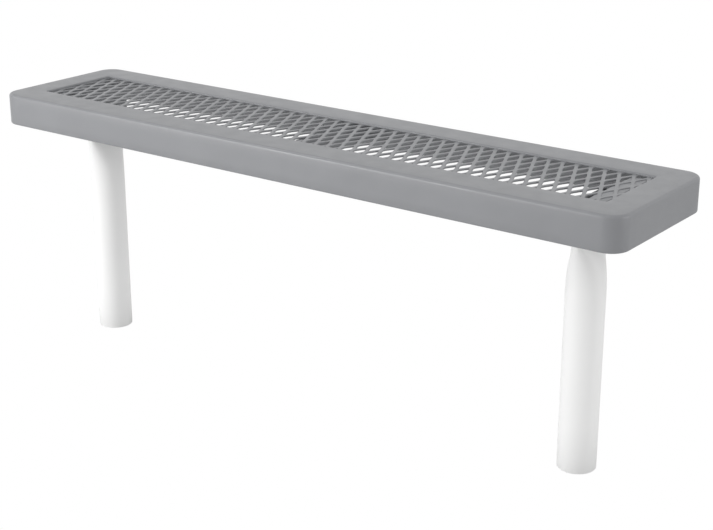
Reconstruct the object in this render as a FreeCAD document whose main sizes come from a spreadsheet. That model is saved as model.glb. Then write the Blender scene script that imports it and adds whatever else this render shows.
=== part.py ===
import FreeCAD, Part
import math
import os

import Sketcher

# Backless bench: a coated steel seat of formed rails and expanded metal on two round posts.
# Frame: +X along the bench, +Y across it, +Z up, origin on the ground under the middle of the seat.

doc = FreeCAD.newDocument("backless_bench")

# ------------------------------------------------------------- driving dimensions (mm)

SIZES = [
    ("seat_length", 1219.2),
    ("seat_width", 267.5),
    ("seat_height", 452.0),
    ("skirt_depth", 54.3),
    ("sheet_wall", 3.4),
    ("corner_radius", 30.0),
    ("top_edge_radius", 4.6),
    ("lower_edge_radius", 1.4),
    ("most_of_wall", 0.44),
    ("side_border", 57.0),
    ("end_border", 52.2),
    ("mesh_thickness", 3.0),
    ("mesh_lap", 16.0),
    ("mesh_edge_band", 5.0),
    ("mesh_column_pitch", 23.59),
    ("mesh_row_pitch", 26.1),
    ("mesh_shift_along", 5.1),
    ("mesh_shift_across", -5.6),
    ("strand_width", 5.8),
    ("brace_depth", 40.0),
    ("brace_thickness", 6.0),
    ("brace_hole_diameter", 8.0),
    ("brace_hole_drop", 12.0),
    ("post_inset", 116.0),
    ("post_diameter", 60.3),
    ("post_wall", 3.2),
    ("post_top_gap", 13.6),
    ("flat_length", 46.0),
    ("press_length", 108.0),
    ("bracket_wall", 5.0),
    ("bracket_length", 122.0),
    ("bracket_shoulder", 25.9),
    ("bracket_shelf", 21.3),
    ("bracket_foot_gap", 2.0),
    ("bracket_inner_bend", 2.0),
    ("bolt_diameter", 10.0),
    ("bolt_hole_clearance", 1.0),
    ("bolt_spacing", 44.0),
    ("bolt_height_in_flat", 20.0),
    ("bolt_end", 3.0),
    ("head_across_flats", 16.0),
    ("head_height", 6.4),
    ("nut_height", 9.6),
    ("washer_diameter", 21.0),
    ("washer_thickness", 2.0),
]

# The post's pressed stretch: where its sections stand, and how late the pressing comes on.
PRESS_STEPS = (0.0, 0.2, 0.35, 0.5, 0.65, 0.8, 0.9, 1.0)
PRESS_POWER = 2.2
FOLD_FULLNESS = 0.97
PRESSED_SLIT = 0.2

# How far off two lengths may be and still count as the same place.
SAME_PLACE = 0.01

# An opening cut back by the edge band to less than this area stays solid.
SMALLEST_OPENING = 24.0

sheet = doc.addObject("Spreadsheet::Sheet", "sizes")
for row, (alias, value) in enumerate(SIZES, start=1):
    sheet.set("A%d" % row, alias)
    sheet.set("B%d" % row, str(value))
    sheet.setAlias("B%d" % row, alias)
doc.recompute()

ALIASES = sorted((alias for alias, _ in SIZES), key=len, reverse=True)

# Heights and places that several sub-parts share, as expressions of the sheet's cells.
SHEET_UNDERSIDE = "(seat_height - sheet_wall)"
MESH_UNDERSIDE = "(seat_height - sheet_wall - mesh_thickness)"
SKIRT_BOTTOM = "(seat_height - skirt_depth)"
HALF_LENGTH = "(seat_length / 2)"
HALF_WIDTH = "(seat_width / 2)"
INNER_HALF_LENGTH = "(seat_length / 2 - sheet_wall)"
INNER_HALF_WIDTH = "(seat_width / 2 - sheet_wall)"
OPENING_HALF_LENGTH = "(seat_length / 2 - end_border)"
OPENING_HALF_WIDTH = "(seat_width / 2 - side_border)"
POST_TOP = "(seat_height - sheet_wall - mesh_thickness - post_top_gap)"
FLAT_BOTTOM = "(%s - flat_length)" % POST_TOP
ROUND_TOP = "(%s - press_length)" % FLAT_BOTTOM
BOLT_LEVEL = "(%s + bolt_height_in_flat)" % FLAT_BOTTOM
FLAT_HALF_WIDTH = "(pi * (post_diameter - 2 * post_wall) / 4 + post_wall)"
POST_AXIS = "(seat_length / 2 - post_inset)"
POST_FACE = "(seat_length / 2 - post_inset - post_wall)"
BRACKET_FACE = "(seat_length / 2 - post_inset + post_wall)"
BRACKET_BACK = "(seat_length / 2 - post_inset + post_wall + bracket_wall)"
SHOULDER_FOOT = "(seat_height - sheet_wall - mesh_thickness - bracket_shoulder)"
FOLD_MITRE = "(bracket_wall * (sqrt(2) - 1))"
LOWER_ROUND = "min(lower_edge_radius; sheet_wall * most_of_wall)"
BOLT_HOLE = "(bolt_diameter + bolt_hole_clearance)"


def value_of(expression):
    """Number that an expression of the sheet's cells gives."""
    return float(sheet.evalExpression(expression))


def bind(thing, prop, expression):
    """Tie a property to an expression of the sheet's cells."""
    for number, alias in enumerate(ALIASES):
        expression = expression.replace(alias, "<%d>" % number)
    for number, alias in enumerate(ALIASES):
        expression = expression.replace("<%d>" % number, "sizes." + alias)
    thing.setExpression(prop, expression)


# ------------------------------------------------------------- sketch and feature helpers

def new_body(label):
    body = doc.addObject("PartDesign::Body", label)
    body.Label = label
    return body


def new_sketch(body, name, role, offset="0"):
    """An empty sketch on one of the body's own origin planes, moved out by an expression."""
    sketch = body.newObject("Sketcher::SketchObject", name)
    plane = [item for item in body.Origin.OriginFeatures if item.Role == role][0]
    sketch.AttachmentSupport = [(plane, "")]
    sketch.MapMode = "FlatFace"
    bind(sketch, ".AttachmentOffset.Base.z", offset)
    return sketch


def place_point(sketch, geometry, end, across, upward):
    """Hold one point of a sketch at two expressions measured from the sketch's origin."""
    for kind, expression in (("DistanceX", across), ("DistanceY", upward)):
        held = Sketcher.Constraint(kind, -1, 1, geometry, end, value_of(expression))
        number = sketch.addConstraint(held)
        bind(sketch, "Constraints[%d]" % number, expression)


def outline(sketch, corners):
    """A closed outline of straight lines through corners, each a pair of expressions."""
    points = [FreeCAD.Vector(value_of(x), value_of(y), 0) for x, y in corners]
    count = len(points)
    for number in range(count):
        sketch.addGeometry(Part.LineSegment(points[number], points[(number + 1) % count]))
    for number in range(count):
        following = (number + 1) % count
        sketch.addConstraint(Sketcher.Constraint("Coincident", number, 2, following, 1))
    for number, (x, y) in enumerate(corners):
        place_point(sketch, number, 1, x, y)


def circle(sketch, x, y, diameter):
    """A circle held by its centre and its diameter."""
    centre = FreeCAD.Vector(value_of(x), value_of(y), 0)
    shape = Part.Circle(centre, FreeCAD.Vector(0, 0, 1), value_of(diameter) / 2)
    number = sketch.addGeometry(shape)
    place_point(sketch, number, 3, x, y)
    held = sketch.addConstraint(Sketcher.Constraint("Diameter", number, value_of(diameter)))
    bind(sketch, "Constraints[%d]" % held, diameter)


def pad(body, sketch, length, both_ways=False):
    feature = body.newObject("PartDesign::Pad", sketch.Name + "_pad")
    feature.Profile = sketch
    feature.SideType = "Symmetric" if both_ways else "One side"
    bind(feature, "Length", length)
    doc.recompute()
    return feature


def pocket(body, sketch, reach):
    """Cut the sketch by its reach to either side, and make sure that it took something off."""
    before = body.Shape.Volume
    feature = body.newObject("PartDesign::Pocket", sketch.Name + "_pocket")
    feature.Profile = sketch
    feature.SideType = "Symmetric"
    bind(feature, "Length", "2 * (%s)" % reach)
    doc.recompute()
    if body.Shape.Volume >= before:
        raise RuntimeError("%s cuts nothing" % feature.Name)
    return feature


def fillet(body, name, radius, wanted):
    """Round the edges of the body's tip for which wanted(edge) is true."""
    tip = body.Tip
    edges = tip.Shape.Edges
    names = ["Edge%d" % (number + 1) for number in range(len(edges)) if wanted(edges[number])]
    if not names:
        raise RuntimeError("%s finds no edge" % name)
    feature = body.newObject("PartDesign::Fillet", name)
    feature.Base = (tip, names)
    bind(feature, "Radius", radius)
    doc.recompute()
    return feature


def middle(edge):
    """Point half way along an edge."""
    return edge.valueAt((edge.FirstParameter + edge.LastParameter) / 2)


def near(value, target):
    return abs(value - target) < SAME_PLACE


def signed(side, expression):
    """The expression, or its negative on the other side of the bench."""
    return expression if side > 0 else "-" + expression


def place(thing, x="0", y="0", z="0"):
    """Bind an object's position to three expressions."""
    for axis, expression in (("x", x), ("y", y), ("z", z)):
        bind(thing, ".Placement.Base." + axis, expression)


def turned(angle, axis):
    return FreeCAD.Rotation(FreeCAD.Vector(*axis), angle)


ALONG = (0, 1, 0)
UPRIGHT = (0, 0, 1)
QUARTER_TURN = 90


# ------------------------------------------------------------- seat frame

def make_rail(label, side):
    """Formed angle along one long side: border on top and skirt down the outside."""
    body = new_body(label)
    section = new_sketch(body, label + "_section", "YZ_Plane")
    outer, inner = signed(side, HALF_WIDTH), signed(side, INNER_HALF_WIDTH)
    edge = signed(side, OPENING_HALF_WIDTH)
    outline(section, [(outer, SKIRT_BOTTOM), (outer, "seat_height"), (edge, "seat_height"),
                      (edge, SHEET_UNDERSIDE), (inner, SHEET_UNDERSIDE), (inner, SKIRT_BOTTOM)])
    pad(body, section, "2 * " + OPENING_HALF_LENGTH, both_ways=True)
    far = side * value_of(HALF_WIDTH)
    top = value_of("seat_height")
    foot = value_of(SKIRT_BOTTOM)

    def long_edge(spot, y, z):
        return near(spot.x, 0) and near(spot.y, y) and near(spot.z, z)

    fillet(body, label + "_top_round", "top_edge_radius",
           lambda item: long_edge(middle(item), far, top))
    skirt_inside = side * value_of(INNER_HALF_WIDTH)
    fillet(body, label + "_foot_round", LOWER_ROUND,
           lambda item: long_edge(middle(item), far, foot)
           or long_edge(middle(item), skirt_inside, foot))


def make_end_cap(label, side):
    """Formed end: border and skirt carried round the two corners of the seat."""
    body = new_body(label)
    plan = new_sketch(body, label + "_plan", "XY_Plane", SKIRT_BOTTOM)
    near_end = signed(side, OPENING_HALF_LENGTH)
    far_end = signed(side, HALF_LENGTH)
    outline(plan, [(near_end, "-" + HALF_WIDTH), (far_end, "-" + HALF_WIDTH),
                   (far_end, HALF_WIDTH), (near_end, HALF_WIDTH)])
    pad(body, plan, "skirt_depth")
    end_x = side * value_of(HALF_LENGTH)
    half_width = value_of(HALF_WIDTH)
    top = value_of("seat_height")
    foot = value_of(SKIRT_BOTTOM)
    join_x = side * value_of(OPENING_HALF_LENGTH)

    def upright_at(item, x, y):
        spot = middle(item)
        return near(spot.x, x) and near(abs(spot.y), y) and foot < spot.z < top - SAME_PLACE

    hollow = new_sketch(body, label + "_hollow", "XY_Plane", SKIRT_BOTTOM)
    inner_x = signed(side, INNER_HALF_LENGTH)
    inner_y = INNER_HALF_WIDTH
    outline(hollow, [(near_end, "-" + inner_y), (inner_x, "-" + inner_y),
                     (inner_x, inner_y), (near_end, inner_y)])
    pocket(body, hollow, "skirt_depth - sheet_wall")
    inner_corner_x = side * value_of(INNER_HALF_LENGTH)
    fillet(body, label + "_inner_corners", "corner_radius - sheet_wall",
           lambda item: upright_at(item, inner_corner_x, value_of(INNER_HALF_WIDTH)))
    fillet(body, label + "_corners", "corner_radius",
           lambda item: upright_at(item, end_x, half_width))

    def rim_at(item, z):
        spot = middle(item)
        return near(spot.z, z) and not near(spot.x, join_x) and not flat_across(item)

    def flat_across(item):
        return near(item.BoundBox.XLength, 0) and near(item.BoundBox.YLength, value_of("sheet_wall"))

    fillet(body, label + "_top_round", "top_edge_radius", lambda item: rim_at(item, top))
    fillet(body, label + "_foot_round", LOWER_ROUND, lambda item: rim_at(item, foot))


def mesh_openings():
    """Diamond faces of the expanded metal's openings, inside its solid edge band."""
    half_x = value_of(OPENING_HALF_LENGTH + " + mesh_lap - mesh_edge_band")
    half_y = value_of(OPENING_HALF_WIDTH + " + mesh_lap - mesh_edge_band")
    column, row = value_of("mesh_column_pitch"), value_of("mesh_row_pitch")
    shift_x, shift_y = value_of("mesh_shift_along"), value_of("mesh_shift_across")
    slope = math.hypot(2 / column, 1 / row)
    keep = 1 - value_of("strand_width") / 2 * slope
    tip_x, tip_y = column / 2 * keep, row * keep
    diamonds = []
    for row_number in range(-math.ceil(half_y / row) - 1, math.ceil(half_y / row) + 2):
        y = shift_y + row_number * row
        stagger = column / 2 if row_number % 2 else 0
        for column_number in range(-math.ceil(half_x / column) - 1, math.ceil(half_x / column) + 2):
            x = shift_x + stagger + column_number * column
            if abs(x) - tip_x > half_x or abs(y) - tip_y > half_y:
                continue
            corners = [(x - tip_x, y), (x, y - tip_y), (x + tip_x, y), (x, y + tip_y), (x - tip_x, y)]
            points = clipped(corners[:-1], half_x, half_y)
            if len(points) > 2 and area(points) > SMALLEST_OPENING:
                ring = [FreeCAD.Vector(px, py, 0) for px, py in points + points[:1]]
                diamonds.append(Part.makePolygon(ring))
    return diamonds


def clipped(points, half_x, half_y):
    """A convex outline cut back to a rectangle about the origin."""
    for axis, sign, limit in ((0, 1, half_x), (0, -1, half_x), (1, 1, half_y), (1, -1, half_y)):
        kept = []
        for number, point in enumerate(points):
            before = points[number - 1]
            inside, was_inside = sign * point[axis] <= limit, sign * before[axis] <= limit
            if inside != was_inside:
                share = (sign * limit - before[axis]) / (point[axis] - before[axis])
                kept.append(tuple(b + share * (p - b) for b, p in zip(before, point)))
            if inside:
                kept.append(point)
        points = kept
    return points


def area(points):
    """Area inside a closed outline."""
    total = 0.0
    for number, point in enumerate(points):
        before = points[number - 1]
        total += before[0] * point[1] - point[0] * before[1]
    return abs(total) / 2


def make_seat_mesh():
    """Expanded metal sheet under the border, with every opening cut through it."""
    half_x = value_of(OPENING_HALF_LENGTH + " + mesh_lap")
    half_y = value_of(OPENING_HALF_WIDTH + " + mesh_lap")
    corners = [(-half_x, -half_y), (half_x, -half_y), (half_x, half_y), (-half_x, half_y)]
    ring = [FreeCAD.Vector(x, y, 0) for x, y in corners + corners[:1]]
    face = Part.Face([Part.makePolygon(ring)] + mesh_openings())
    face.validate()
    thing = doc.addObject("Part::Feature", "seat_mesh")
    thing.Label = "seat_mesh"
    thing.Shape = face.extrude(FreeCAD.Vector(0, 0, value_of("mesh_thickness")))
    thing.Placement = FreeCAD.Placement()
    place(thing, z=MESH_UNDERSIDE)


def make_centre_brace():
    """Flat bar on edge under the mesh, from the front skirt to the rear one."""
    body = new_body("centre_brace")
    face = new_sketch(body, "brace_face", "YZ_Plane")
    low, high = "(%s - brace_depth)" % MESH_UNDERSIDE, MESH_UNDERSIDE
    reach = INNER_HALF_WIDTH
    outline(face, [("-" + reach, low), (reach, low), (reach, high), ("-" + reach, high)])
    pad(body, face, "brace_thickness", both_ways=True)
    hole = new_sketch(body, "brace_hole", "YZ_Plane")
    circle(hole, "0", "(%s - brace_hole_drop)" % MESH_UNDERSIDE, "brace_hole_diameter")
    pocket(body, hole, "brace_thickness")


# ------------------------------------------------------------- brackets and posts

def make_bracket(label, side):
    """Folded plate: a shelf under the mesh, a shoulder at 45 degrees and a leg down the post's flat."""
    body = new_body(label)
    section = new_sketch(body, label + "_section", "XZ_Plane")
    leg_low = "(%s + bracket_foot_gap)" % FLAT_BOTTOM
    shelf_low = "(%s - bracket_wall)" % MESH_UNDERSIDE
    shelf_start = "(%s + bracket_shoulder)" % BRACKET_FACE
    shelf_end = "(%s + bracket_shelf)" % shelf_start
    inner_start = "(%s + %s)" % (shelf_start, FOLD_MITRE)
    inner_foot = "(%s - %s)" % (SHOULDER_FOOT, FOLD_MITRE)
    outer_folds = [(BRACKET_FACE, SHOULDER_FOOT), (shelf_start, MESH_UNDERSIDE)]
    inner_folds = [(inner_start, shelf_low), (BRACKET_BACK, inner_foot)]
    corners = [(BRACKET_FACE, leg_low)] + outer_folds
    corners += [(shelf_end, MESH_UNDERSIDE), (shelf_end, shelf_low)] + inner_folds
    corners += [(BRACKET_BACK, leg_low)]
    outline(section, [(signed(side, along), upward) for along, upward in corners])
    pad(body, section, "bracket_length", both_ways=True)

    def at_fold(item, folds):
        spot = middle(item)
        return any(near(spot.y, 0) and near(spot.x, side * value_of(along))
                   and near(spot.z, value_of(upward)) for along, upward in folds)

    fillet(body, label + "_outer_bends", "bracket_inner_bend + bracket_wall",
           lambda item: at_fold(item, outer_folds))
    fillet(body, label + "_inner_bends", "bracket_inner_bend",
           lambda item: at_fold(item, inner_folds))
    holes = new_sketch(body, label + "_holes", "YZ_Plane", signed(side, BRACKET_FACE))
    for across in ("-bolt_spacing / 2", "bolt_spacing / 2"):
        circle(holes, across, BOLT_LEVEL, BOLT_HOLE)
    pocket(body, holes, "2 * bracket_wall")


def oval(half_x, half_y, end_radius, z):
    """Closed outline of four arcs, long across the bench; a circle when both halves are equal."""
    if near(half_x, half_y):
        flat_x = half_x * math.sqrt(0.5)
        flat_y = flat_x
    else:
        reach = half_y - end_radius
        side_radius = (reach ** 2 + half_x ** 2 - end_radius ** 2) / (2 * (half_x - end_radius))
        share = end_radius / (side_radius - end_radius)
        flat_x = share * (side_radius - half_x)
        flat_y = reach + share * reach
    path = [(flat_x, -flat_y), (half_x, 0), (flat_x, flat_y), (0, half_y),
            (-flat_x, flat_y), (-half_x, 0), (-flat_x, -flat_y), (0, -half_y), (flat_x, -flat_y)]
    points = [FreeCAD.Vector(x, y, z) for x, y in path]
    arcs = [Part.Arc(*points[start:start + 3]).toShape() for start in (0, 2, 4, 6)]
    return Part.Wire(arcs)


def tube_solid(radius, flat_half, flat_half_width, top):
    """Solid that is round up to the pressed stretch, then pressed down to a flat."""
    round_top = value_of(ROUND_TOP)
    press_length = value_of("press_length")
    sections = [oval(radius, radius, radius, 0)]
    for share in PRESS_STEPS:
        pressed = share ** PRESS_POWER
        half_x = radius + (flat_half - radius) * pressed
        half_y = radius + (flat_half_width - radius) * pressed
        end_radius = (1 - pressed) * half_x ** 2 / half_y + pressed * FOLD_FULLNESS * half_x
        sections.append(oval(half_x, half_y, end_radius, round_top + share * press_length))
    if top > round_top + press_length:
        sections.append(oval(half_x, half_y, end_radius, top))
    return Part.makeLoft(sections, True, True)


def cylinder(name, radius, height, x="0", y="0", z="0", rotation=None):
    item = doc.addObject("Part::Cylinder", name)
    bind(item, "Radius", radius)
    bind(item, "Height", height)
    if rotation:
        item.Placement.Rotation = rotation
    place(item, x, y, z)
    return item


def fuse(name, items):
    joined = doc.addObject("Part::MultiFuse", name)
    joined.Shapes = items
    return joined


def cut(name, base, tool):
    result = doc.addObject("Part::Cut", name)
    result.Base = base
    result.Tool = tool
    return result


def make_post(label, side):
    """Round tube whose top is pressed to a flat that takes two bolts."""
    wall = value_of("post_wall")
    radius = value_of("post_diameter / 2")
    half_width = value_of(FLAT_HALF_WIDTH)
    outside = tube_solid(radius, wall, half_width, value_of(POST_TOP))
    slit = wall * PRESSED_SLIT
    hollow = tube_solid(radius - wall, slit, half_width - wall, 0)
    post = outside.cut(hollow)
    clear_of_flat = 2 * wall
    for way in (-1, 1):
        across = way * value_of("bolt_spacing / 2")
        start = FreeCAD.Vector(-clear_of_flat, across, value_of(BOLT_LEVEL))
        direction = FreeCAD.Vector(1, 0, 0)
        hole = Part.makeCylinder(value_of(BOLT_HOLE) / 2, 2 * clear_of_flat, start, direction)
        post = post.cut(hole)
    thing = doc.addObject("Part::Feature", label)
    thing.Label = label
    thing.Shape = post
    thing.Placement = FreeCAD.Placement()
    place(thing, signed(side, POST_AXIS))


# ------------------------------------------------------------- fasteners

def bolt_row(label, side, build):
    """The same fastener at both bolt places, as one node of separate solids."""
    items = [build("%s_%d" % (label, number), signed(way, "(bolt_spacing / 2)"))
             for number, way in enumerate((-1, 1))]
    group = doc.addObject("Part::Compound", label)
    group.Links = items
    group.Label = label
    if side < 0:
        group.Placement.Rotation = turned(2 * QUARTER_TURN, UPRIGHT)


def hexagon(name, height, x, y):
    """Hexagonal block lying along the bench."""
    block = doc.addObject("Part::Prism", name)
    block.Polygon = 6
    bind(block, "Circumradius", "head_across_flats / sqrt(3)")
    bind(block, "Height", height)
    block.Placement.Rotation = turned(QUARTER_TURN, ALONG)
    place(block, x, y, BOLT_LEVEL)
    return block


STACK_BACK = "(%s + washer_thickness)" % BRACKET_BACK
HEAD_SEAT = "(%s - washer_thickness)" % POST_FACE


def bolt(name, y):
    """Hexagon bolt from the inboard side, its shank on through the nut."""
    across = turned(QUARTER_TURN, ALONG)
    head = hexagon(name + "_head", "head_height", "%s - head_height" % HEAD_SEAT, y)
    length = "%s + nut_height + bolt_end - %s" % (STACK_BACK, HEAD_SEAT)
    shank = cylinder(name + "_shank", "bolt_diameter / 2", length, HEAD_SEAT, y, BOLT_LEVEL, across)
    return fuse(name, [head, shank])


def nut(name, y):
    """Lock nut on the bracket's outboard side."""
    across = turned(QUARTER_TURN, ALONG)
    block = hexagon(name + "_block", "nut_height", STACK_BACK, y)
    bore = cylinder(name + "_bore", "bolt_diameter / 2", "nut_height", STACK_BACK, y, BOLT_LEVEL, across)
    return cut(name, block, bore)


def washer(name, x, y):
    across = turned(QUARTER_TURN, ALONG)
    disc = cylinder(name + "_disc", "washer_diameter / 2", "washer_thickness", x, y, BOLT_LEVEL, across)
    bore = cylinder(name + "_bore", BOLT_HOLE + " / 2", "washer_thickness", x, y, BOLT_LEVEL, across)
    return cut(name, disc, bore)


# ------------------------------------------------------------- assembly

make_rail("front_rail", -1)
make_rail("rear_rail", 1)
make_seat_mesh()
make_centre_brace()
for name, side in (("left", -1), ("right", 1)):
    make_end_cap(name + "_end_cap", side)
    make_bracket(name + "_bracket", side)
    make_post(name + "_post", side)
    bolt_row(name + "_bolts", side, bolt)
    bolt_row(name + "_nuts", side, nut)
    bolt_row(name + "_head_washers", side, lambda item, y: washer(item, HEAD_SEAT, y))
    bolt_row(name + "_nut_washers", side, lambda item, y: washer(item, BRACKET_BACK, y))
doc.recompute()

NODES = ["front_rail", "rear_rail", "seat_mesh", "centre_brace"]
for name in ("left", "right"):
    NODES += [name + "_" + piece for piece in ("end_cap", "bracket", "post", "bolts", "nuts",
                                               "head_washers", "nut_washers")]

for thing in doc.Objects:
    if "Invalid" in thing.State or "Error" in thing.State:
        raise RuntimeError("%s: %s" % (thing.Name, thing.State))
solids = {}
for label in NODES:
    found = doc.getObjectsByLabel(label)[0]
    if found.Shape.isNull() or not found.Shape.isValid() or not found.Shape.Solids:
        raise RuntimeError("%s has no valid shape" % label)
    solids[label] = found.Shape

os.makedirs("parts", exist_ok=True)
for label, shape in solids.items():
    shape.exportStep("parts/%s.step" % label)
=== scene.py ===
import math

import bmesh
import bpy
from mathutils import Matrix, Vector


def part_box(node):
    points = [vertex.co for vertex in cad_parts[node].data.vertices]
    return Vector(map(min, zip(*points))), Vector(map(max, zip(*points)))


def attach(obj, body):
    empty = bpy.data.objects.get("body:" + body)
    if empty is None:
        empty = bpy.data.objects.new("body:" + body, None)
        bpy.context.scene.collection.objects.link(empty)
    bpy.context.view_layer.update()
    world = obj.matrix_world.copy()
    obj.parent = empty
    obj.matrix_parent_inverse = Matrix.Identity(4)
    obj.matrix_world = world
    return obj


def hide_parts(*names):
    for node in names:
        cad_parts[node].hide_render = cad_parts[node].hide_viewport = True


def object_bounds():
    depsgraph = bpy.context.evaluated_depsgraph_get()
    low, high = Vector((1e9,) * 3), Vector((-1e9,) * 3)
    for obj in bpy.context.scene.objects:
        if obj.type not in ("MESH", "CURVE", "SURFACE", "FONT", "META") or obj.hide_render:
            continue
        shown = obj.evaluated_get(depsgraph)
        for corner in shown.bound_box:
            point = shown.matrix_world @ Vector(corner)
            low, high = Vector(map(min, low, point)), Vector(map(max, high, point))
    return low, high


# Backless bench: dip-coated seat frame and expanded metal, white posts with pressed tops.

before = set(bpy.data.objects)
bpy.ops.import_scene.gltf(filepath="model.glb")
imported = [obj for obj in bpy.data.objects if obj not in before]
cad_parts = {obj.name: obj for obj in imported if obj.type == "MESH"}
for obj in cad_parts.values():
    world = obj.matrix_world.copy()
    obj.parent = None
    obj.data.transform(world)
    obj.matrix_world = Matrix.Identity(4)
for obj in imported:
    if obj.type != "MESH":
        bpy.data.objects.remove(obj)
cad_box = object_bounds()

MM = 0.001

# ------------------------------------------------------------------ sizes from the frame

cap_low, cap_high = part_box("right_end_cap")
rear_low, rear_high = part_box("rear_rail")
sheet_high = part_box("seat_mesh")[1]
brace_low, brace_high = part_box("centre_brace")

SEAT_TOP = cap_high.z
SKIRT_FOOT = cap_low.z
SEAT_HALF_X = cap_high.x
SEAT_HALF_Y = rear_high.y
OPENING_HALF_X = rear_high.x
OPENING_HALF_Y = rear_low.y
MESH_TOP = sheet_high.z
MESH_FOOT = MESH_TOP - 2.9 * MM

# ------------------------------------------------------------------ sizes of the finish

CORNER_RADIUS = 30 * MM
TOP_ROUND = 5.2 * MM
COAT_WALL = 5.6 * MM
FOOT_BEAD = 3.0 * MM
INNER_ROUND = 4.0 * MM
LIP_ROUND = 2.4 * MM
LIP_SINK = 0.3 * MM
OPENING_CORNER = 3.0 * MM
QUARTERS = (0.25, 0.5, 0.75)
SKIRT_LEVELS = (0.33, 0.66)

# Expanded metal: pitches, how far an opening reaches from its middle, and the strands' section.
COLUMN_PITCH = 23.59 * MM
ROW_PITCH = 26.1 * MM
SHIFT_ALONG = 5.1 * MM
SHIFT_ACROSS = -5.6 * MM
SHORT_REACH = 8.0 * MM
LONG_REACH = 19.6 * MM
SOFT_CORNER = 1.1 * MM
STRAND_HALF = 2.8 * MM
STRAND_EDGE = 1.4 * MM
MOST_OF_STRAND = 0.9
STRAND_DROP = 1.0 * MM
STRAND_TILT = -0.25 * MM
EDGE_POINTS = 7
HALVINGS = 30

# Posts: the flat, the press below it, and painted shade on the flat: a dark grey standing in for the shade
# under the seat.
POST_WALL = 3.2 * MM
POST_RADIUS = 30.15 * MM
POST_EDGE = 0.6 * MM
FLAT_LENGTH = 46 * MM
FLAT_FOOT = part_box("right_post")[1].z - FLAT_LENGTH
FLAT_LEVELS = (0.3, 0.6, 0.9)
PRESS_LENGTH = 108 * MM
PRESS_STEPS = 24
PRESS_START = 2.2
PRESS_END = 1.2
PRESS_WEIGHT = 1.8
BORE_STOP = 12 * MM
BORE_GAP = 0.15 * MM
ELLIPSE = 2
OVAL_GAIN = 3
# Painted shade: dark grey on the post's flat top for the shade under the seat, and the height over which it
# blends in.
PAINTED_FLAT_SHADE = (0.17, 0.175, 0.18, 1)
PAINTED_FLAT_SHADE_BLEND = 1.0 * MM

# Brackets and brace, with the coat pooled over a shelf and the weld beads.
PLATE_WALL = 5 * MM
PLATE_EDGE = 1.4 * MM
PLATE_BEND = 4.5 * MM
SHOULDER = 25.9 * MM
FOLD_SHARE = math.sqrt(2) - 1
POOL_SHIFT = 1.2 * MM
POOL_RUN = 7 * MM
POOL_DROP = 1.2 * MM
POOL_DEPTH = 2.6 * MM
POOL_EDGE = 0.6 * MM
BRACE_EDGE = 1.3 * MM
BRACE_EDGE_MIDDLE = 0.29
HOLE_RADIUS = 4 * MM
HOLE_DROP = 12 * MM
HOLE_POINTS = 96
NEARLY_NOTHING = 1e-9
SHELF_BEAD = 2.2 * MM
SHELF_BEAD_HALF = 9 * MM
SHELF_BEAD_PLACES = (-0.7, 0.0, 0.7)
SHELF_BEAD_INSET = 1.0 * MM
SHELF_BEAD_DROP = 0.6 * MM
BRACE_BEAD = 2.6 * MM
BRACE_BEAD_START = 3 * MM
BRACE_BEAD_END = 2 * MM
BEAD_STEP = 0.9 * MM
RIPPLE_DEPTH = 0.07
RIPPLE_TURN = 2.2

# Fasteners.
BOLT_RADIUS = 5 * MM
BOLT_ACROSS = 22 * MM
FLATS = 16 * MM
TIP = FLATS / math.sqrt(3)
HEAD_HEIGHT = 6.4 * MM
THREAD_PITCH = 1.5 * MM
THREAD_DEPTH = 0.6 * MM
THREAD_LENGTH = 14 * MM
THREAD_END = 1.6 * MM
COLLAR = FLATS * 0.43
WASHER_GAP = 0.5 * MM
WASHER_EDGE = 0.4 * MM

# Coats: size of the mottling and of the changes in gloss, and the range of noise that they use.
MOTTLE_SCALE = 9.0
GLOSS_SCALE = 35.0
NOISE_LOW = 0.3
NOISE_HIGH = 0.7
PEEL_HEIGHT = 0.2 * MM

# Studio: floor, surround, lights as (name, direction, size, power), and camera.
FLOOR_HALF = 12.0
FLOOR_GAP = 0.2 * MM
FLOOR_BOUNCE = 0.65
FLOOR_ROUGHNESS = 0.9
SURROUND = 0.86
DIM_SIDE = (0.8, -0.6, 0.0)
DIM_START = -0.1
DIM_LEVEL = 0.74
WHITE = (1, 1, 1, 1)
LIGHT_DISTANCE = 4.0
LIGHTS = (("key", (-0.6, -0.25, 0.76), 0.3, 7),
          ("front", (-0.55, -0.83, 0.0), 2.0, 106),
          ("fill", (0.95, 0.25, 0.0), 2.0, 34))
SENSOR_WIDTH = 36
LENS = 75.92
CAMERA_PLACE = (1.4585, -1.8514, SEAT_TOP + 0.6043)
CAMERA_LOOK_DOWN = 19.552
CAMERA_TURN = 36.771


# ------------------------------------------------------------------ mesh helpers

def new_piece(name, mesh, material, slot, *nodes):
    """A finished piece: smooth, in its material, riding on the bench and standing for its nodes."""
    piece = bpy.data.objects.new(name, mesh)
    bpy.context.scene.collection.objects.link(piece)
    mesh.materials.clear()
    mesh.materials.append(material)
    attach(piece, "root")
    if nodes:
        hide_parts(*nodes)
    return piece


def mesh_of(name, build, smooth_angle=40):
    """A mesh filled by build(bm), with its normals outward and shading split at sharp edges."""
    mesh = bpy.data.meshes.new(name)
    bm = bmesh.new()
    build(bm)
    bmesh.ops.recalc_face_normals(bm, faces=bm.faces)
    sharp = math.radians(smooth_angle)
    for face in bm.faces:
        face.smooth = True
    for edge in bm.edges:
        edge.smooth = len(edge.link_faces) == 2 and edge.calc_face_angle(0.0) < sharp
    bm.to_mesh(mesh)
    bm.free()
    return mesh


def join_loops(bm, loops, close=False):
    """Skin a list of closed loops of equal count; close also joins the last loop to the first."""
    rings = [[bm.verts.new(point) for point in loop] for loop in loops]
    pairs = list(zip(rings, rings[1:]))
    if close:
        pairs.append((rings[-1], rings[0]))
    for lower, upper in pairs:
        count = len(lower)
        for number in range(count):
            after = (number + 1) % count
            bm.faces.new((lower[number], lower[after], upper[after], upper[number]))
    return rings


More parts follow.
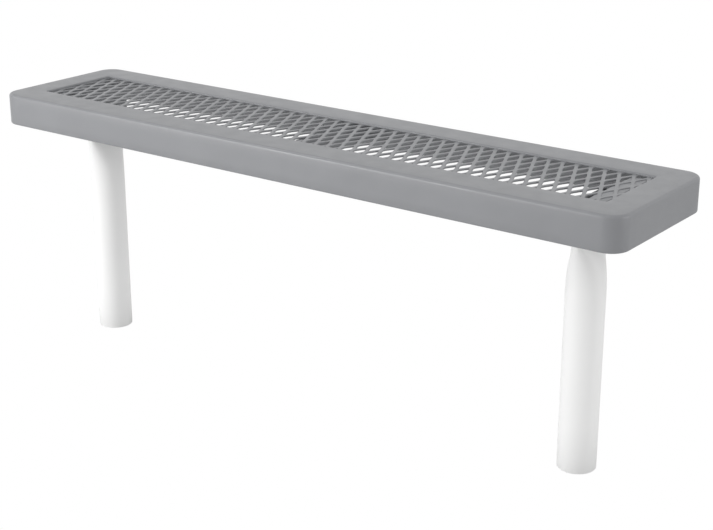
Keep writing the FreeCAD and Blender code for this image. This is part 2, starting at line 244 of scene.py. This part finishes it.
def skin_with_ends(bm, loops):
    """Skin a list of closed loops and put a face on the first and the last."""
    rings = join_loops(bm, loops)
    bm.faces.new(rings[0])
    bm.faces.new(rings[-1])


def arc(start, end, steps):
    """Angles from start to end in degrees, both included, as radians."""
    return [math.radians(start + (end - start) * step / steps) for step in range(steps + 1)]


def rounded_rectangle(half_x, half_y, radius, z, corner_steps=14, long_steps=60, short_steps=12):
    """Points of a level rounded rectangle about the seat's middle, counter-clockwise."""
    points = []
    corners = ((1, -1, -90), (1, 1, 0), (-1, 1, 90), (-1, -1, 180))
    for number, (sign_x, sign_y, start) in enumerate(corners):
        centre = Vector((sign_x * (half_x - radius), sign_y * (half_y - radius), z))
        for angle in arc(start, start + 90, corner_steps):
            points.append(centre + radius * Vector((math.cos(angle), math.sin(angle), 0)))
        following = corners[(number + 1) % 4]
        start_point = points[-1]
        far = Vector((following[0] * (half_x - radius), following[1] * (half_y - radius), z))
        angle = math.radians(start + 90)
        far += radius * Vector((math.cos(angle), math.sin(angle), 0))
        steps = short_steps if number % 2 == 0 else long_steps
        for step in range(1, steps):
            points.append(start_point.lerp(far, step / steps))
    return points


# ------------------------------------------------------------------ seat frame

def frame_profile():
    """Half sizes, corner radius and height of each loop round the frame's section."""
    profile = []
    lip_x = OPENING_HALF_X + LIP_ROUND
    lip_y = OPENING_HALF_Y + LIP_ROUND
    profile.append((OPENING_HALF_X, OPENING_HALF_Y, OPENING_CORNER, MESH_TOP - LIP_SINK))
    for angle in arc(0, 90, 6):
        inward = LIP_ROUND * math.cos(angle)
        corner = OPENING_CORNER + LIP_ROUND - inward
        height = SEAT_TOP - LIP_ROUND + LIP_ROUND * math.sin(angle)
        profile.append((lip_x - inward, lip_y - inward, corner, height))
    flat_x, flat_y = SEAT_HALF_X - TOP_ROUND, SEAT_HALF_Y - TOP_ROUND
    flat_corner = CORNER_RADIUS - TOP_ROUND
    lip_corner = OPENING_CORNER + LIP_ROUND
    for share in QUARTERS:
        mixed = [a + (b - a) * share for a, b in
                 ((lip_x, flat_x), (lip_y, flat_y), (lip_corner, flat_corner))]
        profile.append((*mixed, SEAT_TOP))
    for angle in arc(90, 0, 8):
        out = TOP_ROUND * math.cos(angle)
        height = SEAT_TOP - TOP_ROUND + TOP_ROUND * math.sin(angle)
        profile.append((flat_x + out, flat_y + out, flat_corner + out, height))
    foot_level = SKIRT_FOOT + FOOT_BEAD
    drop = SEAT_TOP - TOP_ROUND - foot_level
    for share in QUARTERS:
        profile.append((SEAT_HALF_X, SEAT_HALF_Y, CORNER_RADIUS, foot_level + drop * (1 - share)))
    middle = COAT_WALL / 2
    for angle in arc(0, -180, 10):
        out = middle * math.cos(angle) - middle
        height = foot_level + FOOT_BEAD * math.sin(angle)
        profile.append((SEAT_HALF_X + out, SEAT_HALF_Y + out, CORNER_RADIUS + out, height))
    inner_x, inner_y = SEAT_HALF_X - COAT_WALL, SEAT_HALF_Y - COAT_WALL
    for share in SKIRT_LEVELS:
        height = foot_level + (MESH_TOP - INNER_ROUND - foot_level) * share
        profile.append((inner_x, inner_y, CORNER_RADIUS - COAT_WALL, height))
    for angle in arc(0, 90, 5):
        out = -COAT_WALL - INNER_ROUND * (1 - math.cos(angle))
        height = MESH_TOP - INNER_ROUND * (1 - math.sin(angle))
        profile.append((SEAT_HALF_X + out, SEAT_HALF_Y + out, CORNER_RADIUS + out, height))
    return profile


def build_seat_frame(bm):
    """Border, skirt and return of the seat as one closed band."""
    loops = [rounded_rectangle(*ring) for ring in frame_profile()]
    join_loops(bm, loops, close=True)


# ------------------------------------------------------------------ expanded metal

def opening_reach(direction):
    """Distance from an opening's centre to its rounded edge, along a direction."""
    across = Vector((2 / COLUMN_PITCH, 1 / ROW_PITCH))
    side = 1 / across.length
    limits = ((abs(direction.x), SHORT_REACH), (abs(direction.y), LONG_REACH),
              (Vector((abs(direction.x), abs(direction.y))).dot(across) * side, side - STRAND_HALF))
    low, high = 0.0, ROW_PITCH
    for _ in range(HALVINGS):
        middle = (low + high) / 2
        total = sum(math.exp((middle * slope - limit) / SOFT_CORNER) for slope, limit in limits)
        if total > 1:
            high = middle
        else:
            low = middle
    return low


def cell_rings():
    """Rings of one diamond cell, from the strands' middle line over the edge and underneath."""
    tips = [Vector((COLUMN_PITCH / 2, 0)), Vector((0, ROW_PITCH)),
            Vector((-COLUMN_PITCH / 2, 0)), Vector((0, -ROW_PITCH))]
    middle_line = []
    for number, tip in enumerate(tips):
        following = tips[(number + 1) % 4]
        for step in range(EDGE_POINTS):
            middle_line.append(tip.lerp(following, step / EDGE_POINTS))
    edge_line = []
    for point in middle_line:
        direction = point.normalized()
        edge_line.append(direction * opening_reach(direction))
    top = [[(point, 0.0, 0.0) for point in middle_line]]
    for angle in arc(0, 90, 4):
        ring = []
        for middle, edge in zip(middle_line, edge_line):
            width = min(STRAND_EDGE, MOST_OF_STRAND * (middle - edge).length)
            inward = width * (1 - math.sin(angle))
            back = edge + (middle - edge).normalized() * inward
            share = 1 - inward / (middle - edge).length
            drop = STRAND_DROP * (1 - math.cos(angle))
            ring.append((back, drop, STRAND_TILT * share * edge.x / SHORT_REACH))
        top.append(ring)
    upper = [[Vector((*point, MESH_TOP - drop + lift)) for point, drop, lift in ring] for ring in top]
    lower = [[Vector((*point, MESH_FOOT + drop + lift)) for point, drop, lift in ring] for ring in top]
    return upper + lower[::-1]


def cell_centres():
    """Middle of every diamond cell that reaches into the sheet."""
    half_x, half_y = sheet_high.x, sheet_high.y
    rows = math.ceil(half_y / ROW_PITCH) + 1
    columns = math.ceil(half_x / COLUMN_PITCH) + 1
    for row in range(-rows, rows + 1):
        y = SHIFT_ACROSS + row * ROW_PITCH
        stagger = COLUMN_PITCH / 2 if row % 2 else 0
        for column in range(-columns, columns + 1):
            x = SHIFT_ALONG + stagger + column * COLUMN_PITCH
            if abs(x) < half_x + COLUMN_PITCH / 2 and abs(y) < half_y + ROW_PITCH:
                yield Vector((x, y, 0))


def build_expanded_metal(bm):
    """Every cell joined into one sheet, trimmed to its size and closed along the trim."""
    rings = cell_rings()
    for centre in cell_centres():
        join_loops(bm, [[point + centre for point in ring] for ring in rings])
    bmesh.ops.remove_doubles(bm, verts=bm.verts, dist=0.01 * MM)
    for axis, limit in ((0, sheet_high.x), (1, sheet_high.y)):
        for sign in (1, -1):
            normal = Vector((0, 0, 0))
            normal[axis] = sign
            geometry = bm.verts[:] + bm.edges[:] + bm.faces[:]
            bmesh.ops.bisect_plane(bm, geom=geometry, plane_co=normal * limit, plane_no=normal,
                                   clear_outer=True, dist=0.001 * MM)
    rim = [edge for edge in bm.edges if edge.is_boundary]
    bmesh.ops.holes_fill(bm, edges=rim, sides=0)


# ------------------------------------------------------------------ posts

def press_share(height, flat_foot):
    """How far the tube is pressed at a height: 0 while round, 1 at the flat."""
    share = (height - (flat_foot - PRESS_LENGTH)) / PRESS_LENGTH
    share = min(max(share, 0.0), 1.0)
    rise = share ** PRESS_START
    return rise / (rise + PRESS_WEIGHT * (1 - share) ** PRESS_END) if rise else 0.0


def oval_ring(centre, half_x, half_y, fullness, z, count=72):
    """Level ring between an ellipse and a flat-sided oval."""
    points = []
    for number in range(count):
        angle = 2 * math.pi * number / count
        c, s = math.cos(angle), math.sin(angle)
        x = half_x * math.copysign(abs(c) ** (2 / fullness), c)
        y = half_y * math.copysign(abs(s) ** (2 / fullness), s)
        points.append(Vector((centre.x + x, centre.y + y, z)))
    return points


def build_post(bm, node):
    """Tube with its wall, its square-cut foot and its pressed flat top."""
    low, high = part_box(node)
    centre = (low + high) / 2
    flat_foot = high.z - FLAT_LENGTH
    flat_half_y = (high.y - low.y) / 2

    def ring(height, inset):
        pressed = press_share(height, flat_foot)
        half_x = POST_RADIUS + (POST_WALL - POST_RADIUS) * pressed
        half_y = POST_RADIUS + (flat_half_y - POST_RADIUS) * pressed
        thin = max(half_x - inset, BORE_GAP) if inset > POST_EDGE else half_x - inset
        return oval_ring(centre, thin, half_y - inset, ELLIPSE + OVAL_GAIN * pressed ** 3, height)

    press_foot = flat_foot - PRESS_LENGTH
    levels = [low.z + POST_EDGE] + [press_foot * share for share in QUARTERS]
    levels += [press_foot + PRESS_LENGTH * step / PRESS_STEPS for step in range(PRESS_STEPS + 1)]
    levels += [flat_foot + FLAT_LENGTH * share for share in FLAT_LEVELS]
    outside = [ring(low.z, POST_WALL - POST_EDGE), ring(low.z, POST_EDGE)]
    outside += [ring(level, 0) for level in levels]
    outside += [ring(high.z - POST_EDGE, 0), ring(high.z, POST_EDGE)]
    inside = [ring(level, POST_WALL) for level in levels if level < flat_foot - BORE_STOP]
    skin_with_ends(bm, inside[::-1] + outside)


# ------------------------------------------------------------------ plates and bars

def plate_ring(centre, across, normal, half_width, half_thick, radius, steps=4):
    """Rounded rectangle section of a plate: half_width along across, half_thick along normal."""
    radius = min(radius, half_thick, half_width)
    points = []
    for sign_a, sign_n, start in ((1, 1, 0), (-1, 1, 90), (-1, -1, 180), (1, -1, 270)):
        corner = centre + across * sign_a * (half_width - radius)
        corner = corner + normal * sign_n * (half_thick - radius)
        for angle in arc(start, start + 90, steps):
            points.append(corner + radius * (across * math.cos(angle) + normal * math.sin(angle)))
    return points


def build_plate(bm, path, across, half_width, half_thick, radius):
    """Plate swept along a path of (point, forward) pairs, every edge rounded."""
    first, last = path[0], path[-1]
    rounding = [(radius * (1 - math.sin(angle)), radius * (1 - math.cos(angle))) for angle in arc(0, 90, 4)]
    stations = [(first[0] + first[1] * inset, first[1], back) for back, inset in rounding]
    stations += [(point, forward, 0.0) for point, forward in path[1:-1]]
    stations += [(last[0] - last[1] * inset, last[1], back) for back, inset in rounding[::-1]]
    loops = []
    for point, forward, back in stations:
        normal = forward.cross(across).normalized()
        loops.append(plate_ring(point, across, normal, half_width - back, half_thick - back, radius))
    skin_with_ends(bm, loops)


def build_bracket(bm, node, side):
    """Folded plate: a shelf under the mesh, a sloping shoulder and a leg beside the post's flat."""
    low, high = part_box(node)
    inner_x = low.x if side > 0 else -high.x
    outer_x = high.x if side > 0 else -low.x
    half = PLATE_WALL / 2
    mitre = half * FOLD_SHARE
    knee = Vector((inner_x + half, 0, high.z - SHOULDER - mitre))
    brow = Vector((inner_x + SHOULDER + mitre, 0, high.z - half))
    setback = PLATE_BEND * FOLD_SHARE
    path = [(Vector((inner_x + half, 0, low.z)), Vector((0, 0, 1)))]
    for fold, start, end in ((knee, 90, 45), (brow, 45, 0)):
        before = Vector((math.cos(math.radians(start)), 0, math.sin(math.radians(start))))
        centre = fold - before * setback + PLATE_BEND * Vector((before.z, 0, -before.x))
        for angle in arc(start, end, 5):
            forward = Vector((math.cos(angle), 0, math.sin(angle)))
            path.append((centre + PLATE_BEND * Vector((-forward.z, 0, forward.x)), forward))
    path.append((Vector((outer_x, 0, high.z - half)), Vector((1, 0, 0))))
    path = [(Vector((side * point.x, 0, point.z)), Vector((side * forward.x, 0, forward.z)))
            for point, forward in path]
    build_plate(bm, path, Vector((0, 1, 0)), high.y, half, PLATE_EDGE)
    if side > 0:
        build_coat_pool(bm, inner_x + SHOULDER + POOL_SHIFT, outer_x + POOL_RUN, high.y + POOL_RUN)
    for along in (outer_x - SHELF_BEAD_INSET, inner_x + SHOULDER + SHELF_BEAD_INSET):
        for share in SHELF_BEAD_PLACES:
            middle = Vector((side * along, share * high.y, high.z - SHELF_BEAD_DROP))
            reach = Vector((0, SHELF_BEAD_HALF, 0))
            build_bead(bm, middle - reach, middle + reach, SHELF_BEAD)


def build_coat_pool(bm, start, end, half_width):
    """Coat that has pooled in the openings over a shelf, just below the top of the strands."""
    level = MESH_TOP - POOL_DROP - POOL_DEPTH / 2
    path = [(Vector((along, 0, level)), Vector((1, 0, 0))) for along in (start, (start + end) / 2, end)]
    build_plate(bm, path, Vector((0, 1, 0)), half_width, POOL_DEPTH / 2, POOL_EDGE)


def build_bead(bm, start, end, radius):
    """Weld bead with rippled flanks and rounded ends, laid from start to end under the coat."""
    forward = (end - start).normalized()
    side = forward.orthogonal().normalized()
    up = forward.cross(side)
    steps = int((end - start).length / BEAD_STEP)
    loops = []
    for step in range(steps + 1):
        share = step / steps
        taper = min(1.0, math.sqrt(max(1 - (2 * share - 1) ** 8, 0.02)))
        ripple = 1 + RIPPLE_DEPTH * math.sin(step * RIPPLE_TURN)
        centre = start.lerp(end, share)
        loops.append([centre + radius * taper * ripple * (side * math.cos(angle) + up * math.sin(angle))
                      for angle in arc(0, 330, 11)])
    skin_with_ends(bm, loops)


def brace_side(x, half_y, low, high, hole_radius):
    """Loops of one face of the brace: its outer edge, then its hole, point for point."""
    middle = brace_high.z - HOLE_DROP
    corner_angles = [math.atan2(z - middle, y) % (2 * math.pi)
                     for y, z in ((half_y, high), (-half_y, high), (-half_y, low), (half_y, low))]
    even_angles = [2 * math.pi * number / HOLE_POINTS for number in range(HOLE_POINTS)]
    outer, inner = [], []
    for angle in sorted(set(corner_angles + even_angles)):
        c, s = math.cos(angle), math.sin(angle)
        reach_y = half_y / abs(c) if abs(c) > NEARLY_NOTHING else math.inf
        to_edge = high - middle if s > 0 else middle - low
        reach_z = to_edge / abs(s) if abs(s) > NEARLY_NOTHING else math.inf
        reach = min(reach_y, reach_z)
        outer.append(Vector((x, reach * c, middle + reach * s)))
        inner.append(Vector((x, hole_radius * c, middle + hole_radius * s)))
    return outer, inner


def build_brace(bm):
    """Bar on edge from skirt to skirt, with its hanging hole and its welds to the skirts."""
    thick = (brace_high.x - brace_low.x) / 2
    reach = SEAT_HALF_Y - COAT_WALL / 2
    part_way = BRACE_EDGE * BRACE_EDGE_MIDDLE
    loops = []
    for side in (-1, 1):
        faces = []
        for grow, x in ((BRACE_EDGE, thick), (part_way, thick - part_way), (0, thick - BRACE_EDGE)):
            faces.append(brace_side(side * x, reach - grow, brace_low.z + grow,
                                    brace_high.z - grow, HOLE_RADIUS + grow))
        loops.append(faces)
    left, right = loops
    order = [outer for outer, _ in left] + [outer for outer, _ in reversed(right)]
    order += [inner for _, inner in right] + [inner for _, inner in reversed(left)]
    join_loops(bm, order, close=True)
    for way in (-1, 1):
        for side in (-1, 1):
            joint = Vector((side * thick, way * (SEAT_HALF_Y - COAT_WALL), 0))
            build_bead(bm, joint + Vector((0, 0, brace_low.z + BRACE_BEAD_START)),
                       joint + Vector((0, 0, brace_high.z - BRACE_BEAD_END)), BRACE_BEAD)


# ------------------------------------------------------------------ fasteners

def lathe(bm, centre, way, stations, hollow=False, count=72):
    """Turn stations of (along, radius, flats) about a line along the bench; flats give a hexagon."""
    loops = []
    for along, radius, flats in stations:
        loop = []
        for number in range(count):
            angle = 2 * math.pi * number / count
            reach = radius
            if flats:
                off = (angle + math.pi / 6) % (math.pi / 3) - math.pi / 6
                reach = min(radius, flats / 2 / math.cos(off))
            loop.append(centre + Vector((way * along, reach * math.cos(angle), reach * math.sin(angle))))
        loops.append(loop)
    if hollow:
        join_loops(bm, loops, close=True)
    else:
        skin_with_ends(bm, loops)


def fastener_places(node, way):
    """Start point of each of a node's two fasteners, and their length along the bench."""
    low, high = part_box(node)
    start = low.x if way > 0 else high.x
    height = (low.z + high.z) / 2
    half = (high.z - low.z) / 2
    across = high.y - half if node.endswith("washers") else BOLT_ACROSS
    return [Vector((start, sign * across, height)) for sign in (-1, 1)], high.x - low.x


def build_bolts(bm, node, way):
    """Hexagon-head bolts with their threads and chamfered tips."""
    places, length = fastener_places(node, way)
    for place in places:
        stations = [(0, FLATS * 0.40, FLATS), (0.1 * MM, FLATS * 0.46, FLATS),
                    (1.1 * MM, TIP, FLATS), (HEAD_HEIGHT - 0.3 * MM, TIP, FLATS),
                    (HEAD_HEIGHT, TIP - 0.3 * MM, FLATS), (HEAD_HEIGHT, BOLT_RADIUS, None)]
        threads = length - THREAD_LENGTH
        while threads < length - THREAD_END:
            stations.append((threads, BOLT_RADIUS - 0.05 * MM, None))
            stations.append((threads + THREAD_PITCH / 2, BOLT_RADIUS - THREAD_DEPTH, None))
            threads += THREAD_PITCH
        stations += [(length - 0.8 * MM, BOLT_RADIUS - 0.3 * MM, None),
                     (length, BOLT_RADIUS - 1.2 * MM, None)]
        lathe(bm, place, way, stations)


def build_nuts(bm, node, way):
    """Lock nuts with chamfered flats and a round collar."""
    places, length = fastener_places(node, way)
    stations = [(0, FLATS * 0.48, FLATS), (0.9 * MM, TIP, FLATS), (length * 0.66, TIP, FLATS),
                (length * 0.74, FLATS * 0.49, FLATS), (length * 0.77, COLLAR, None),
                (length * 0.95, COLLAR, None), (length, COLLAR - 0.7 * MM, None),
                (length, BOLT_RADIUS + 0.5 * MM, None), (length * 0.93, BOLT_RADIUS, None),
                (0.7 * MM, BOLT_RADIUS, None), (0, BOLT_RADIUS + 0.7 * MM, None)]
    for place in places:
        lathe(bm, place, way, stations, hollow=True)


def build_washers(bm, node, way):
    """Flat washers with softened rims."""
    places, length = fastener_places(node, way)
    low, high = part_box(node)
    outer = (high.z - low.z) / 2
    inner = BOLT_RADIUS + WASHER_GAP
    stations = [(0, inner, None), (0, outer - WASHER_EDGE, None), (WASHER_EDGE, outer, None),
                (length - WASHER_EDGE, outer, None), (length, outer - WASHER_EDGE, None),
                (length, inner, None)]
    for place in places:
        lathe(bm, place, way, stations, hollow=True)


# ------------------------------------------------------------------ materials

def nodes_of(owner):
    """The emptied node tree of a material or a world."""
    owner.use_nodes = True
    tree = owner.node_tree
    tree.nodes.clear()
    return tree


def coat_detail_group():
    """Shared surface of the coats: slight mottling, changing gloss and a fine orange peel."""
    group = bpy.data.node_groups.new("coat_detail", "ShaderNodeTree")
    sockets = group.interface
    sockets.new_socket("Colour", in_out="INPUT", socket_type="NodeSocketColor")
    for name, value in (("Mottle", 0.04), ("Gloss Low", 0.4), ("Gloss High", 0.5), ("Peel Size", 900.0)):
        socket = sockets.new_socket(name, in_out="INPUT", socket_type="NodeSocketFloat")
        socket.default_value = value
    sockets.new_socket("Colour", in_out="OUTPUT", socket_type="NodeSocketColor")
    sockets.new_socket("Roughness", in_out="OUTPUT", socket_type="NodeSocketFloat")
    sockets.new_socket("Height", in_out="OUTPUT", socket_type="NodeSocketFloat")
    inlet = group.nodes.new("NodeGroupInput")
    outlet = group.nodes.new("NodeGroupOutput")
    place = group.nodes.new("ShaderNodeTexCoord")
    cloud = group.nodes.new("ShaderNodeTexNoise")
    cloud.inputs["Scale"].default_value = MOTTLE_SCALE
    cloud.inputs["Detail"].default_value = 5.0
    group.links.new(place.outputs["Object"], cloud.inputs["Vector"])
    shade = group.nodes.new("ShaderNodeMapRange")
    shade.inputs["From Min"].default_value = NOISE_LOW
    shade.inputs["From Max"].default_value = NOISE_HIGH
    group.links.new(cloud.outputs["Fac"], shade.inputs["Value"])
    darker = group.nodes.new("ShaderNodeMath")
    darker.operation = "SUBTRACT"
    darker.inputs[0].default_value = 1.0
    group.links.new(inlet.outputs["Mottle"], darker.inputs[1])
    group.links.new(darker.outputs[0], shade.inputs["To Min"])
    shade.inputs["To Max"].default_value = 1.0
    tint = group.nodes.new("ShaderNodeVectorMath")
    tint.operation = "SCALE"
    group.links.new(inlet.outputs["Colour"], tint.inputs[0])
    group.links.new(shade.outputs["Result"], tint.inputs["Scale"])
    group.links.new(tint.outputs["Vector"], outlet.inputs["Colour"])
    gloss = group.nodes.new("ShaderNodeTexNoise")
    gloss.inputs["Scale"].default_value = GLOSS_SCALE
    gloss.inputs["Detail"].default_value = 3.0
    group.links.new(place.outputs["Object"], gloss.inputs["Vector"])
    rough = group.nodes.new("ShaderNodeMapRange")
    group.links.new(gloss.outputs["Fac"], rough.inputs["Value"])
    rough.inputs["From Min"].default_value = NOISE_LOW
    rough.inputs["From Max"].default_value = NOISE_HIGH
    group.links.new(inlet.outputs["Gloss Low"], rough.inputs["To Min"])
    group.links.new(inlet.outputs["Gloss High"], rough.inputs["To Max"])
    group.links.new(rough.outputs["Result"], outlet.inputs["Roughness"])
    peel = group.nodes.new("ShaderNodeTexNoise")
    peel.inputs["Detail"].default_value = 2.0
    group.links.new(place.outputs["Object"], peel.inputs["Vector"])
    group.links.new(inlet.outputs["Peel Size"], peel.inputs["Scale"])
    group.links.new(peel.outputs["Fac"], outlet.inputs["Height"])
    return group


coat_detail = coat_detail_group()


def painted_shade_on_flat(tree, coat_colour, shader):
    """Colour of a post: its coat, and painted shade on the flat, a dark grey standing in for the shade
    under the seat.
    """
    place = tree.nodes.new("ShaderNodeTexCoord")
    height = tree.nodes.new("ShaderNodeSeparateXYZ")
    tree.links.new(place.outputs["Object"], height.inputs[0])
    mask = tree.nodes.new("ShaderNodeMapRange")
    mask.inputs["From Min"].default_value = FLAT_FOOT - PAINTED_FLAT_SHADE_BLEND
    mask.inputs["From Max"].default_value = FLAT_FOOT + PAINTED_FLAT_SHADE_BLEND
    tree.links.new(height.outputs["Z"], mask.inputs["Value"])
    mix = tree.nodes.new("ShaderNodeMix")
    mix.data_type = "RGBA"
    # Painted shade: the flat above its foot is coloured dark grey for the shade under the seat.
    mix.inputs["B"].default_value = PAINTED_FLAT_SHADE
    tree.links.new(mask.outputs["Result"], mix.inputs["Factor"])
    tree.links.new(coat_colour, mix.inputs["A"])
    tree.links.new(mix.outputs["Result"], shader.inputs["Base Color"])


def coat_material(name, colour, mottle, gloss, peel_size, bump, specular, flat=False):
    """A smooth coat on steel: colour, gloss and peel from the shared detail."""
    material = bpy.data.materials.new(name)
    tree = nodes_of(material)
    out = tree.nodes.new("ShaderNodeOutputMaterial")
    shader = tree.nodes.new("ShaderNodeBsdfPrincipled")
    shader.inputs["Specular IOR Level"].default_value = specular
    detail = tree.nodes.new("ShaderNodeGroup")
    detail.node_tree = coat_detail
    detail.inputs["Colour"].default_value = (*colour, 1)
    detail.inputs["Mottle"].default_value = mottle
    detail.inputs["Gloss Low"].default_value = gloss[0]
    detail.inputs["Gloss High"].default_value = gloss[1]
    detail.inputs["Peel Size"].default_value = peel_size
    relief = tree.nodes.new("ShaderNodeBump")
    relief.inputs["Strength"].default_value = bump
    relief.inputs["Distance"].default_value = PEEL_HEIGHT
    tree.links.new(detail.outputs["Height"], relief.inputs["Height"])
    # flat puts painted shade, a dark grey, on the post's flat top.
    if flat:
        painted_shade_on_flat(tree, detail.outputs["Colour"], shader)
    else:
        tree.links.new(detail.outputs["Colour"], shader.inputs["Base Color"])
    tree.links.new(detail.outputs["Roughness"], shader.inputs["Roughness"])
    tree.links.new(relief.outputs["Normal"], shader.inputs["Normal"])
    tree.links.new(shader.outputs[0], out.inputs["Surface"])
    return material


grey_coat = coat_material("grey_dip_coat", (0.250, 0.2545, 0.267), 0.05, (0.3, 0.4), 700, 0.25, 0.5)
# The posts' white coat carries painted shade, a dark grey, on their flat tops.
white_coat = coat_material("white_powder_coat", (0.92, 0.92, 0.915), 0.02, (0.35, 0.45), 900, 0.2, 0.4,
                           flat=True)
zinc = coat_material("zinc_plate", (0.55, 0.56, 0.58), 0.15, (0.28, 0.42), 400, 0.2, 0.5)
zinc.node_tree.nodes["Principled BSDF"].inputs["Metallic"].default_value = 1.0


# ------------------------------------------------------------------ pieces

new_piece("seat_frame", mesh_of("seat_frame", build_seat_frame, 50), grey_coat, "seat_coating",
          "front_rail", "rear_rail", "left_end_cap", "right_end_cap")
new_piece("expanded_metal", mesh_of("expanded_metal", build_expanded_metal, 60), grey_coat,
          "seat_coating", "seat_mesh")
new_piece("mid_brace", mesh_of("mid_brace", build_brace, 50), grey_coat, "seat_coating", "centre_brace")
for name, side in (("left", -1), ("right", 1)):
    post = mesh_of(name + "_tube", lambda bm: build_post(bm, name + "_post"), 45)
    new_piece(name + "_tube", post, white_coat, "post_coating", name + "_post")
    bracket = mesh_of(name + "_saddle", lambda bm: build_bracket(bm, name + "_bracket", side), 50)
    new_piece(name + "_saddle", bracket, grey_coat, "seat_coating", name + "_bracket")
    for kind, label, build in (("bolts", "hex_bolts", build_bolts), ("nuts", "lock_nuts", build_nuts),
                               ("head_washers", "inboard_washers", build_washers),
                               ("nut_washers", "outboard_washers", build_washers)):
        node = name + "_" + kind
        mesh = mesh_of(name + "_" + label, lambda bm: build(bm, node, side), 30)
        new_piece(name + "_" + label, mesh, zinc, "fastener_steel", node)


# ------------------------------------------------------------------ floor, light and camera

def build_floor():
    """Pale floor: plain white to the eye, and giving back only part of the light that falls on it."""
    material = bpy.data.materials.new("pale_floor")
    tree = nodes_of(material)
    out = tree.nodes.new("ShaderNodeOutputMaterial")
    paper = tree.nodes.new("ShaderNodeBsdfPrincipled")
    paper.inputs["Base Color"].default_value = (FLOOR_BOUNCE, FLOOR_BOUNCE, FLOOR_BOUNCE, 1)
    paper.inputs["Roughness"].default_value = FLOOR_ROUGHNESS
    paper.inputs["Specular IOR Level"].default_value = 0.0
    glow = tree.nodes.new("ShaderNodeEmission")
    path = tree.nodes.new("ShaderNodeLightPath")
    mix = tree.nodes.new("ShaderNodeMixShader")
    tree.links.new(path.outputs["Is Camera Ray"], mix.inputs["Fac"])
    tree.links.new(paper.outputs[0], mix.inputs[1])
    tree.links.new(glow.outputs[0], mix.inputs[2])
    beneath = tree.nodes.new("ShaderNodeNewGeometry")
    clear = tree.nodes.new("ShaderNodeBsdfTransparent")
    open_below = tree.nodes.new("ShaderNodeMixShader")
    tree.links.new(beneath.outputs["Backfacing"], open_below.inputs["Fac"])
    tree.links.new(mix.outputs[0], open_below.inputs[1])
    tree.links.new(clear.outputs[0], open_below.inputs[2])
    tree.links.new(open_below.outputs[0], out.inputs["Surface"])
    mesh = bpy.data.meshes.new("floor")
    corners = [(FLOOR_HALF * x, FLOOR_HALF * y, 0) for x, y in ((-1, -1), (1, -1), (1, 1), (-1, 1))]
    mesh.from_pydata(corners, [], [(0, 1, 2, 3)])
    floor = bpy.data.objects.new("floor", mesh)
    floor.location.z = cad_box[0][2] - FLOOR_GAP
    bpy.context.scene.collection.objects.link(floor)
    mesh.materials.append(material)


def area_light(name, direction, size, power):
    """Square light that faces the seat's middle from a direction."""
    data = bpy.data.lights.new(name, "AREA")
    data.shape = "SQUARE"
    data.size = size
    data.energy = power
    light = bpy.data.objects.new(name, data)
    away = Vector(direction).normalized()
    light.location = Vector((0, 0, SEAT_TOP)) + away * LIGHT_DISTANCE
    light.rotation_euler = (-away).to_track_quat("-Z", "Y").to_euler()
    bpy.context.scene.collection.objects.link(light)


def build_world():
    """Studio surround: bright all round, dimmer towards one side, plain white to the eye."""
    world = bpy.data.worlds.new("studio")
    bpy.context.scene.world = world
    tree = nodes_of(world)
    out = tree.nodes.new("ShaderNodeOutputWorld")
    place = tree.nodes.new("ShaderNodeTexCoord")
    facing = tree.nodes.new("ShaderNodeVectorMath")
    facing.operation = "DOT_PRODUCT"
    facing.inputs[1].default_value = Vector(DIM_SIDE).normalized()
    tree.links.new(place.outputs["Generated"], facing.inputs[0])
    level = tree.nodes.new("ShaderNodeMapRange")
    level.interpolation_type = "SMOOTHSTEP"
    level.inputs["From Min"].default_value = DIM_START
    level.inputs["From Max"].default_value = 1.0
    level.inputs["To Min"].default_value = SURROUND
    level.inputs["To Max"].default_value = DIM_LEVEL
    tree.links.new(facing.outputs["Value"], level.inputs["Value"])
    surround = tree.nodes.new("ShaderNodeBackground")
    tree.links.new(level.outputs["Result"], surround.inputs["Strength"])
    surround.inputs["Color"].default_value = WHITE
    plain = tree.nodes.new("ShaderNodeBackground")
    plain.inputs["Color"].default_value = WHITE
    path = tree.nodes.new("ShaderNodeLightPath")
    mix = tree.nodes.new("ShaderNodeMixShader")
    tree.links.new(path.outputs["Is Camera Ray"], mix.inputs["Fac"])
    tree.links.new(surround.outputs[0], mix.inputs[1])
    tree.links.new(plain.outputs[0], mix.inputs[2])
    tree.links.new(mix.outputs[0], out.inputs["Surface"])


def build_camera():
    """Camera from the front right, looking down on the seat."""
    data = bpy.data.cameras.new("camera")
    data.sensor_width = SENSOR_WIDTH
    data.lens = LENS
    camera = bpy.data.objects.new("camera", data)
    camera.location = CAMERA_PLACE
    camera.rotation_euler = (math.radians(90 - CAMERA_LOOK_DOWN), 0, math.radians(CAMERA_TURN))
    bpy.context.scene.collection.objects.link(camera)
    bpy.context.scene.camera = camera


build_floor()
build_world()
for light in LIGHTS:
    area_light(*light)
build_camera()
bpy.context.scene.view_settings.view_transform = "Standard"
